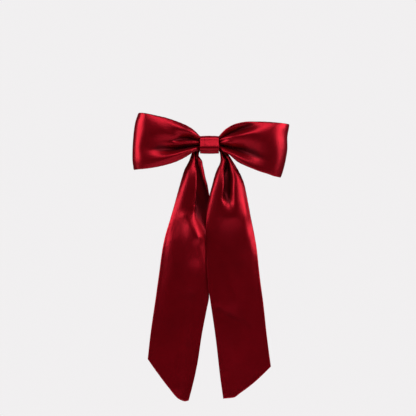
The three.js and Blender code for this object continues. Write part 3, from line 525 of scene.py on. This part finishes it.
def soft_folds(P, side):
    """Moves the cloth forward along each of the tail's soft folds."""
    P = P.copy()
    share = np.clip((-8.4 - P[..., 1]) / 3.0, 0, 1)
    share = share * share * (3 - 2 * share)
    if side > 0:
        share = 0.35 + 0.65 * share
    move = np.zeros(P.shape[:2])
    for x0, z0, x1, z1, height, half in SOFT_FOLDS[side]:
        d = np.array([x1 - x0, z1 - z0], float)
        long = np.linalg.norm(d)
        d /= long
        rx = P[..., 0] - x0
        rz = P[..., 2] - z0
        t = np.clip(rx * d[0] + rz * d[1], 0, long)
        gap = np.hypot(rx - t * d[0], rz - t * d[1])
        move += height * np.exp(-((gap / half) ** 2))
    P[..., 1] -= move * share
    return P


def build_tail(name, side, sections, end, start_x, seed):
    u = clustered(96, True, True, TAIL_W, 0.6)
    P, T = tail_grid(side, sections, end, u, start_x)
    core = blur(blur(P, 2.2, axis=0), 1.0, axis=1)
    P = soft_folds(core, side)
    U = np.broadcast_to(u * TAIL_W, P.shape[:2]).copy()
    S = T.copy()
    calm = np.clip((S - 60) / 60, 0, 1)
    P = ripple(P, U, S, False, 0.35, seed, fade=0.25 + 0.75 * calm)
    P = puckers(P, U, S, False, 0.10, seed + 3)
    t = np.full(P.shape[:2], T_CLOTH)
    # pressed thin where it is pleated into the knot
    t *= 0.30 + 0.70 * np.clip((S - 16) / 22, 0, 1)
    e = np.minimum(U, TAIL_W - U)
    e = np.minimum(e, S.max(axis=0, keepdims=True) - S)
    t *= 1 + 0.22 * np.exp(-(((e - 1.6) / 1.1) ** 2))
    return cloth_mesh(name, P, U, S, t, False)


left_tail = build_tail("tail_left_satin", -1, LEFT, LEFT_END, 9.3, 31)
right_tail = build_tail("tail_right_satin", 1, RIGHT, RIGHT_END, 9.3, 41)

# the strip's middle, inside the knot
u_mid = np.linspace(0, 1, 210)
mid_rows = []
for x in np.linspace(-9.2, 9.2, 30):
    mid_rows.append(even(zigzag((x, -9.2, 5.7), (x, -9.2, -5.7), 12.5, 0.8, 500), u_mid))
mid = np.array(mid_rows)
U_mid = np.broadcast_to(u_mid * TAIL_W, mid.shape[:2]).copy()
S_mid = np.broadcast_to(np.linspace(0, 18.4, 30)[:, None], mid.shape[:2]).copy()
tail_middle = cloth_mesh("tail_middle_satin", mid, U_mid, S_mid, np.full(mid.shape[:2], 0.34), False, rim=0.3)


# ------------------------------------------------------------------------------------------------------- knot band
BAND_W = 19.4
band_path = catmull(
    np.array(
        [(-6.3, -3.6), (-6.3, 0.5), (-6.35, 4.2), (-6.9, 6.6), (-8.6, 8.0), (-11.0, 8.4), (-13.4, 8.35), (-15.4, 7.7), (-16.6, 6.2), (-17.3, 4.0), (-18.15, 1.4), (-18.95, -1.0), (-19.4, -2.8), (-19.15, -4.4), (-18.0, -5.8), (-16.7, -6.7), (-16.3, -7.5), (-15.6, -8.5), (-13.4, -8.8), (-10.4, -8.65), (-7.6, -8.2), (-5.9, -6.9), (-5.3, -4.8), (-5.2, -2.0), (-5.2, 0.8), (-5.25, 2.9)],
        float,
    ),
    14,
)
n_band = 150
f_band = clustered(n_band, True, True, 66.0, 0.5)
bp = even(band_path, f_band)
band_len = np.linalg.norm(np.diff(bp, axis=0), axis=1).sum()
u_band = clustered(44, True, True, BAND_W, 0.5)
xs = (u_band - 0.5) * BAND_W
tan = np.gradient(bp, axis=0)
tan /= np.linalg.norm(tan, axis=1, keepdims=True)
nor = np.stack([-tan[:, 1], tan[:, 0]], axis=1)
centre = np.array([-11.7, 0.0])
sign = np.sign(np.einsum("ij,ij->i", nor, bp - centre))
nor = nor * np.sign(np.sum(sign))
P = np.empty((len(f_band), len(u_band), 3))
s_band = f_band * band_len
for i in range(len(f_band)):
    q = xs / (BAND_W / 2)
    # drawn in a little at the middle of the wrap, fuller between its edges, with soft pulls along it
    swell = 0.34 * (1 - q**2)
    pulls = 0.07 * value_noise(np.full_like(q, s_band[i] / 9.0), q * 3.2 + 4, 61) + 0.05 * value_noise(np.full_like(q, s_band[i] / 22.0), q * 7 + 11, 62)
    w = 1 - 0.012 * math.cos(2 * math.pi * s_band[i] / band_len)
    P[i, :, 0] = xs * w
    P[i, :, 1] = bp[i, 0] + nor[i, 0] * (swell + pulls)
    P[i, :, 2] = bp[i, 1] + nor[i, 1] * (swell + pulls)
U_band = np.broadcast_to(u_band * BAND_W, P.shape[:2]).copy()
S_band = np.broadcast_to(s_band[:, None], P.shape[:2]).copy()
P = puckers(P, U_band, S_band, False, 0.05, 71, wave=4.2, reach=1.2)
band = cloth_mesh("knot_band_satin", P, U_band, S_band, np.full(P.shape[:2], 0.8), False, rim=0.45)


# --------------------------------------------------------------------------------------------------------- threads
def strand_mesh(name, path, r, twist, sides=8, close=True):
    """Two strands twisted round a line of points in mm, as one closed mesh for each strand, joined in one object."""
    path = np.asarray(path, float)
    t = np.gradient(path, axis=0)
    t /= np.linalg.norm(t, axis=1, keepdims=True)
    seg = np.linalg.norm(np.diff(path, axis=0), axis=1)
    s = np.concatenate([[0], np.cumsum(seg)])
    ref = np.tile(np.array([0.0, 1.0, 0.0]), (len(path), 1))
    flat = np.abs(np.einsum("ij,ij->i", t, ref)) > 0.9
    ref[flat] = (1.0, 0.0, 0.0)
    a = ref - t * np.einsum("ij,ij->i", ref, t)[:, None]
    a /= np.linalg.norm(a, axis=1, keepdims=True)
    for i in range(1, len(path)):
        a[i] = a[i - 1] - t[i] * np.dot(a[i - 1], t[i])
        a[i] /= np.linalg.norm(a[i])
    b = np.cross(t, a)
    verts, faces = [], []
    rs = r * 0.56
    for k in range(2):
        base = len(verts)
        ang = 2 * math.pi * s / twist + math.pi * k
        c = path + (np.cos(ang)[:, None] * a + np.sin(ang)[:, None] * b) * (r * 0.46)
        for i in range(len(path)):
            shrink = 0.35 if i in (0, len(path) - 1) else 1.0
            for m in range(sides):
                w = 2 * math.pi * m / sides
                verts.append((c[i] + (math.cos(w) * a[i] + math.sin(w) * b[i]) * rs * shrink) * MM)
        for i in range(len(path) - 1):
            for m in range(sides):
                m2 = (m + 1) % sides
                faces.append((base + i * sides + m, base + i * sides + m2, base + (i + 1) * sides + m2, base + (i + 1) * sides + m))
        faces.append(tuple(base + m for m in range(sides))[::-1])
        faces.append(tuple(base + (len(path) - 1) * sides + m for m in range(sides)))
    me = bpy.data.meshes.new(name)
    me.from_pydata([tuple(v) for v in verts], [], faces)
    me.update()
    import bmesh

    bm = bmesh.new()
    bm.from_mesh(me)
    bmesh.ops.recalc_face_normals(bm, faces=bm.faces)
    bm.to_mesh(me)
    bm.free()
    me.polygons.foreach_set("use_smooth", [True] * len(me.polygons))
    ob = bpy.data.objects.new(name, me)
    bpy.context.scene.collection.objects.link(ob)
    return ob


# five turns round the loops' waist, under the band
pts = []
for i in range(5 * 40 + 1):
    w = 2 * math.pi * i / 40
    c, s = math.cos(w), math.sin(w)
    q = (abs(c) ** 2.7 + abs(s) ** 2.7) ** (-1 / 2.7)
    pts.append((-3.6 + 7.2 * i / 200, -13.75 + 2.95 * q * c, 6.98 * q * s))
gather = strand_mesh("gathering_stitches", pts, 0.26, 1.5)

# slanting whip stitches over the band's end at the back
stitches = []
for k in range(8):
    x0 = -8.2 + 2.2 * k
    c = np.array(
        [(x0, -5.0, 4.2), (x0 + 0.15, -4.62, 3.9), (x0 + 0.5, -4.42, 3.0), (x0 + 0.85, -4.48, 2.0), (x0 + 1.0, -4.75, 1.55)],
        float,
    )
    stitches.append(strand_mesh("closing_stitch_%02d" % (k + 1), catmull(c, 6), 0.24, 1.3, sides=6))


# ------------------------------------------------------------------------------------------------------- materials
def nodes_of(name):
    m = bpy.data.materials.new(name)
    m.use_nodes = True
    nt = m.node_tree
    nt.nodes.clear()
    out = nt.nodes.new("ShaderNodeOutputMaterial")
    sh = nt.nodes.new("ShaderNodeBsdfPrincipled")
    nt.links.new(sh.outputs[0], out.inputs[0])
    return m, nt, sh


def add(nt, kind, **kw):
    n = nt.nodes.new(kind)
    for k, v in kw.items():
        setattr(n, k, v)
    return n


def ramp(nt, fac, stops):
    r = nt.nodes.new("ShaderNodeValToRGB")
    el = r.color_ramp.elements
    while len(el) < len(stops):
        el.new(0.5)
    for e, (p, c) in zip(el, stops):
        e.position = p
        e.color = (*c, 1.0) if len(c) == 3 else c
    nt.links.new(fac, r.inputs[0])
    return r.outputs[0]


def satin(name, base, shade, rough=0.36, weave=0.5, along=1.0):
    """Dyed polyester satin: floats run along the ribbon, so light spreads across it."""
    m, nt, sh = nodes_of(name)
    L = nt.links.new
    uv = add(nt, "ShaderNodeUVMap", uv_map="cloth")  # 1 unit is 100 mm of ribbon
    # slight unevenness of the dye and of the way the pile of floats lies
    big = add(nt, "ShaderNodeTexNoise", noise_dimensions="2D")
    big.inputs["Scale"].default_value = 2.6
    big.inputs["Detail"].default_value = 3.0
    L(uv.outputs[0], big.inputs["Vector"])
    slub_map = add(nt, "ShaderNodeMapping")
    slub_map.inputs["Scale"].default_value = (150.0, 60.0, 1.0)
    L(uv.outputs[0], slub_map.inputs["Vector"])
    slub = add(nt, "ShaderNodeTexNoise", noise_dimensions="2D")
    slub.inputs["Scale"].default_value = 1.0
    slub.inputs["Detail"].default_value = 4.0
    slub.inputs["Roughness"].default_value = 0.6
    L(slub_map.outputs[0], slub.inputs["Vector"])
    mixf = add(nt, "ShaderNodeMath", operation="MULTIPLY_ADD")
    L(slub.outputs[0], mixf.inputs[0])
    mixf.inputs[1].default_value = 0.55
    halfbig = add(nt, "ShaderNodeMath", operation="MULTIPLY")
    L(big.outputs[0], halfbig.inputs[0])
    halfbig.inputs[1].default_value = 0.45
    L(halfbig.outputs[0], mixf.inputs[2])
    col = ramp(nt, mixf.outputs[0], [(0.30, shade), (0.68, base)])
    # painted shade: the colour is darkened down in the creases, and the cloth is a little rougher there where it is
    # crushed
    fold = add(nt, "ShaderNodeAttribute", attribute_name="fold", attribute_type="GEOMETRY")
    deep = add(nt, "ShaderNodeMapRange", interpolation_type="SMOOTHSTEP")
    deep.inputs["To Max"].default_value = 0.80
    L(fold.outputs["Fac"], deep.inputs[0])
    painted_crease_shade = add(nt, "ShaderNodeMix", data_type="RGBA", blend_type="MIX")
    L(deep.outputs[0], painted_crease_shade.inputs["Factor"])
    L(col, painted_crease_shade.inputs[6])
    # the painted crease shade's colour, a darker copy of the red
    painted_crease_shade.inputs[7].default_value = (base[0] * 0.16, base[1] * 0.10, base[2] * 0.10, 1.0)
    L(painted_crease_shade.outputs[2], sh.inputs["Base Color"])
    # fine weave: floats along the ribbon with the weft's dips across them
    wm = add(nt, "ShaderNodeMapping")
    wm.inputs["Scale"].default_value = (1.0, 1.0, 1.0)
    L(uv.outputs[0], wm.inputs["Vector"])
    wave1 = add(nt, "ShaderNodeTexWave", wave_type="BANDS", bands_direction="X", wave_profile="SIN")
    wave1.inputs["Scale"].default_value = 62.0
    wave1.inputs["Distortion"].default_value = 1.2
    wave1.inputs["Detail"].default_value = 2.0
    wave1.inputs["Detail Scale"].default_value = 3.0
    L(wm.outputs[0], wave1.inputs["Vector"])
    diag = add(nt, "ShaderNodeMapping")
    diag.inputs["Rotation"].default_value = (0, 0, math.radians(63))
    L(uv.outputs[0], diag.inputs["Vector"])
    wave2 = add(nt, "ShaderNodeTexWave", wave_type="BANDS", bands_direction="X", wave_profile="SIN")
    wave2.inputs["Scale"].default_value = 44.0
    wave2.inputs["Distortion"].default_value = 0.8
    L(diag.outputs[0], wave2.inputs["Vector"])
    wsum = add(nt, "ShaderNodeMath", operation="MULTIPLY_ADD")
    L(wave1.outputs["Fac"], wsum.inputs[0])
    wsum.inputs[1].default_value = 0.6
    w2 = add(nt, "ShaderNodeMath", operation="MULTIPLY")
    L(wave2.outputs["Fac"], w2.inputs[0])
    w2.inputs[1].default_value = 0.4
    L(w2.outputs[0], wsum.inputs[2])
    bump1 = add(nt, "ShaderNodeBump")
    bump1.inputs["Strength"].default_value = 0.10 * weave
    bump1.inputs["Distance"].default_value = 0.00012
    L(wsum.outputs[0], bump1.inputs["Height"])
    # handling crinkles, finer than the folds in the mesh
    cm = add(nt, "ShaderNodeMapping")
    cm.inputs["Scale"].default_value = (18.0, 11.0, 1.0)
    L(uv.outputs[0], cm.inputs["Vector"])
    cr = add(nt, "ShaderNodeTexNoise", noise_dimensions="2D")
    cr.inputs["Scale"].default_value = 1.0
    cr.inputs["Detail"].default_value = 5.0
    cr.inputs["Roughness"].default_value = 0.55
    L(cm.outputs[0], cr.inputs["Vector"])
    bump2 = add(nt, "ShaderNodeBump")
    bump2.inputs["Strength"].default_value = 0.22
    bump2.inputs["Distance"].default_value = 0.0006
    L(cr.outputs[0], bump2.inputs["Height"])
    L(bump1.outputs[0], bump2.inputs["Normal"])
    # the grain of the floats, just coarse enough to make the sheen sparkle
    gm = add(nt, "ShaderNodeMapping")
    gm.inputs["Scale"].default_value = (170.0, 110.0, 1.0)
    L(uv.outputs[0], gm.inputs["Vector"])
    gr = add(nt, "ShaderNodeTexNoise", noise_dimensions="2D")
    gr.inputs["Scale"].default_value = 1.0
    gr.inputs["Detail"].default_value = 2.0
    L(gm.outputs[0], gr.inputs["Vector"])
    bump3 = add(nt, "ShaderNodeBump")
    bump3.inputs["Strength"].default_value = 0.35
    bump3.inputs["Distance"].default_value = 0.00012
    L(gr.outputs[0], bump3.inputs["Height"])
    L(bump2.outputs[0], bump3.inputs["Normal"])
    L(bump3.outputs[0], sh.inputs["Normal"])
    # roughness follows the slubs a little
    rr = add(nt, "ShaderNodeMapRange")
    rr.inputs["To Min"].default_value = rough - 0.05
    rr.inputs["To Max"].default_value = rough + 0.07
    L(slub.outputs[0], rr.inputs[0])
    crushed = add(nt, "ShaderNodeMath", operation="MULTIPLY_ADD")
    L(deep.outputs[0], crushed.inputs[0])
    crushed.inputs[1].default_value = 0.16
    L(rr.outputs[0], crushed.inputs[2])
    L(crushed.outputs[0], sh.inputs["Roughness"])
    tg = add(nt, "ShaderNodeTangent", direction_type="UV_MAP", uv_map="cloth")
    L(tg.outputs[0], sh.inputs["Tangent"])
    sh.inputs["Anisotropic"].default_value = 0.3
    sh.inputs["Metallic"].default_value = 0.77
    sh.inputs["Specular IOR Level"].default_value = 0.66
    sh.inputs["Specular Tint"].default_value = (1.0, 0.36, 0.54, 1.0)
    sh.inputs["Sheen Weight"].default_value = 0.03
    sh.inputs["Sheen Roughness"].default_value = 0.35
    sh.inputs["Sheen Tint"].default_value = (1.0, 0.22, 0.34, 1.0)
    return m


satin_red = satin("satin_red", (0.28, 0.0010, 0.0066), (0.19, 0.0006, 0.0041), rough=0.34)


def thread_material():
    m, nt, sh = nodes_of("thread_red")
    L = nt.links.new
    tc = add(nt, "ShaderNodeTexCoord")
    n = add(nt, "ShaderNodeTexNoise")
    n.inputs["Scale"].default_value = 2200.0
    n.inputs["Detail"].default_value = 3.0
    L(tc.outputs["Object"], n.inputs["Vector"])
    col = ramp(nt, n.outputs[0], [(0.3, (0.17, 0.004, 0.010)), (0.7, (0.34, 0.010, 0.024))])
    L(col, sh.inputs["Base Color"])
    b = add(nt, "ShaderNodeBump")
    b.inputs["Strength"].default_value = 0.5
    b.inputs["Distance"].default_value = 0.00005
    L(n.outputs[0], b.inputs["Height"])
    L(b.outputs[0], sh.inputs["Normal"])
    sh.inputs["Roughness"].default_value = 0.55
    sh.inputs["Sheen Weight"].default_value = 0.3
    sh.inputs["Sheen Roughness"].default_value = 0.4
    return m


thread_red = thread_material()


def nickel(name, stretch, base=(0.66, 0.655, 0.64), rough=0.24, brushed=0.35):
    """Nickel plate over stamped steel, with fine lines along the rolling and rubbed, slightly darker low spots."""
    m, nt, sh = nodes_of(name)
    L = nt.links.new
    tc = add(nt, "ShaderNodeTexCoord")
    mp = add(nt, "ShaderNodeMapping")
    mp.inputs["Scale"].default_value = stretch
    L(tc.outputs["Object"], mp.inputs["Vector"])
    fine = add(nt, "ShaderNodeTexNoise")
    fine.inputs["Scale"].default_value = 1.0
    fine.inputs["Detail"].default_value = 6.0
    fine.inputs["Roughness"].default_value = 0.65
    L(mp.outputs[0], fine.inputs["Vector"])
    cloud = add(nt, "ShaderNodeTexNoise")
    cloud.inputs["Scale"].default_value = 130.0
    cloud.inputs["Detail"].default_value = 4.0
    L(tc.outputs["Object"], cloud.inputs["Vector"])
    col = ramp(nt, cloud.outputs[0], [(0.32, tuple(c * 0.80 for c in base)), (0.62, base)])
    L(col, sh.inputs["Base Color"])
    r = add(nt, "ShaderNodeMapRange")
    r.inputs["From Min"].default_value = 0.3
    r.inputs["From Max"].default_value = 0.7
    r.inputs["To Min"].default_value = rough - 0.07
    r.inputs["To Max"].default_value = rough + 0.14
    L(fine.outputs[0], r.inputs[0])
    L(r.outputs[0], sh.inputs["Roughness"])
    b = add(nt, "ShaderNodeBump")
    b.inputs["Strength"].default_value = brushed
    b.inputs["Distance"].default_value = 0.00004
    L(fine.outputs[0], b.inputs["Height"])
    L(b.outputs[0], sh.inputs["Normal"])
    sh.inputs["Metallic"].default_value = 1.0
    return m


plate_nickel = nickel("nickel_plate", (260.0, 5200.0, 5200.0))
spring_nickel = nickel("nickel_spring", (220.0, 4200.0, 4200.0), base=(0.60, 0.60, 0.60), rough=0.20)
pin_nickel = nickel("nickel_pin", (4200.0, 4200.0, 420.0), base=(0.64, 0.63, 0.61), rough=0.18)

for node, mat in [
    ("base_plate", plate_nickel),
    ("clasp_arm", plate_nickel),
    ("tension_leaf", spring_nickel),
    ("catch_foot", plate_nickel),
    ("catch_prong_upper", spring_nickel),
    ("catch_prong_lower", spring_nickel),
    ("hinge_pin", pin_nickel),
    ("catch_rivet", pin_nickel),
]:
    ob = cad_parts[node]
    for s in ob.material_slots:
        s.material = mat

for ob in (loops, left_tail, right_tail, tail_middle, band):
    ob.data.materials.append(satin_red)
for ob in [gather] + stitches:
    ob.data.materials.append(thread_red)


# ------------------------------------------------------------------------------------------- riding on the frame
for ob in (loops, tail_middle, band, gather):
    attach(ob, "bow")
for ob in stitches:
    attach(ob, "bow")
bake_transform(left_tail)
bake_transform(right_tail)
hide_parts("loop_ribbon")
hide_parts("left_tail")
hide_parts("right_tail")
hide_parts("tail_ribbon_middle")
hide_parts("knot_band")
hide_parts("gathering_thread")
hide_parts("band_closing_thread")


# --------------------------------------------------------------------------------------------------- studio
def area(name, at, look, size_x, size_y, power, colour=(1, 1, 1), spread=None):
    d = bpy.data.lights.new(name, "AREA")
    d.shape = "RECTANGLE"
    d.size = size_x
    d.size_y = size_y
    d.energy = power
    d.color = colour
    if spread:
        d.spread = math.radians(spread)
    o = bpy.data.objects.new(name, d)
    o.location = at
    o.rotation_euler = (Vector(look) - Vector(at)).to_track_quat("-Z", "Z").to_euler()
    bpy.context.scene.collection.objects.link(o)
    return o


area("soft_left", (-1.20, -0.30, 0.42), (0, -0.01, -0.06), 1.15, 1.2, 22, (1.0, 0.985, 0.97))
area("soft_right", (1.20, -0.32, 0.42), (0, -0.01, -0.06), 1.15, 1.2, 24, (1.0, 0.985, 0.97))
area("soft_top", (0.10, -0.98, 1.10), (0, -0.01, 0.0), 1.0, 0.66, 11, (1.0, 0.99, 0.98))
area("soft_back", (0.0, 1.4, 0.7), (0, 0.0, 0.0), 1.4, 0.9, 6, (1.0, 1.0, 1.0))

world = bpy.data.worlds.new("studio")
bpy.context.scene.world = world
world.use_nodes = True
wn = world.node_tree
wn.nodes.clear()
wo = wn.nodes.new("ShaderNodeOutputWorld")
lp = wn.nodes.new("ShaderNodeLightPath")
bg_seen = wn.nodes.new("ShaderNodeBackground")
bg_seen.inputs[0].default_value = (0.880, 0.866, 0.872, 1)
bg_seen.inputs[1].default_value = 1.0
bg_light = wn.nodes.new("ShaderNodeBackground")
bg_light.inputs[0].default_value = (1.0, 0.985, 0.99, 1)
bg_light.inputs[1].default_value = 0.05
mx = wn.nodes.new("ShaderNodeMixShader")
wn.links.new(lp.outputs["Is Camera Ray"], mx.inputs[0])
wn.links.new(bg_light.outputs[0], mx.inputs[1])
wn.links.new(bg_seen.outputs[0], mx.inputs[2])
wn.links.new(mx.outputs[0], wo.inputs[0])

# floor, well below the tails
import bmesh

fm = bpy.data.meshes.new("floor")
bm = bmesh.new()
bmesh.ops.create_circle(bm, cap_ends=True, segments=96, radius=1.0)
bm.to_mesh(fm)
bm.free()
floor = bpy.data.objects.new("floor", fm)
floor.location = (0, 0, -0.62)
bpy.context.scene.collection.objects.link(floor)
m, nt, sh = nodes_of("floor_pale")
tc = add(nt, "ShaderNodeTexCoord")
n = add(nt, "ShaderNodeTexNoise")
n.inputs["Scale"].default_value = 3.0
nt.links.new(tc.outputs["Object"], n.inputs["Vector"])
nt.links.new(ramp(nt, n.outputs[0], [(0.3, (0.78, 0.77, 0.775)), (0.7, (0.82, 0.81, 0.815))]), sh.inputs["Base Color"])
sh.inputs["Roughness"].default_value = 0.9
# towards its edge the floor takes the backdrop's tone, so that no horizon shows
dist = add(nt, "ShaderNodeVectorMath", operation="LENGTH")
nt.links.new(tc.outputs["Object"], dist.inputs[0])
far = add(nt, "ShaderNodeMapRange", interpolation_type="SMOOTHSTEP")
far.inputs["From Min"].default_value = 0.30
far.inputs["From Max"].default_value = 0.95
nt.links.new(dist.outputs["Value"], far.inputs[0])
ray = add(nt, "ShaderNodeLightPath")
both = add(nt, "ShaderNodeMath", operation="MULTIPLY")
nt.links.new(far.outputs[0], both.inputs[0])
nt.links.new(ray.outputs["Is Camera Ray"], both.inputs[1])
glow = add(nt, "ShaderNodeEmission")
glow.inputs[0].default_value = (0.880, 0.866, 0.872, 1)
glow.inputs[1].default_value = 1.0
mixer = add(nt, "ShaderNodeMixShader")
nt.links.new(both.outputs[0], mixer.inputs[0])
nt.links.new(sh.outputs[0], mixer.inputs[1])
nt.links.new(glow.outputs[0], mixer.inputs[2])
nt.links.new(mixer.outputs[0], [x for x in nt.nodes if x.type == "OUTPUT_MATERIAL"][0].inputs[0])
floor.data.materials.append(m)

cam = bpy.data.cameras.new("camera")
camera = bpy.data.objects.new("camera", cam)
bpy.context.scene.collection.objects.link(camera)
DIST = 1.6
FRAME_MM = 429.3
cam.sensor_width = 36.0
cam.lens = 36.0 * (DIST * 1000) / FRAME_MM
camera.location = (-0.0015, -0.014 - DIST, -0.0655)
camera.rotation_euler = (math.radians(90), 0, 0)
cam.clip_end = 20
bpy.context.scene.camera = camera
bpy.context.scene.view_settings.view_transform = "Standard"
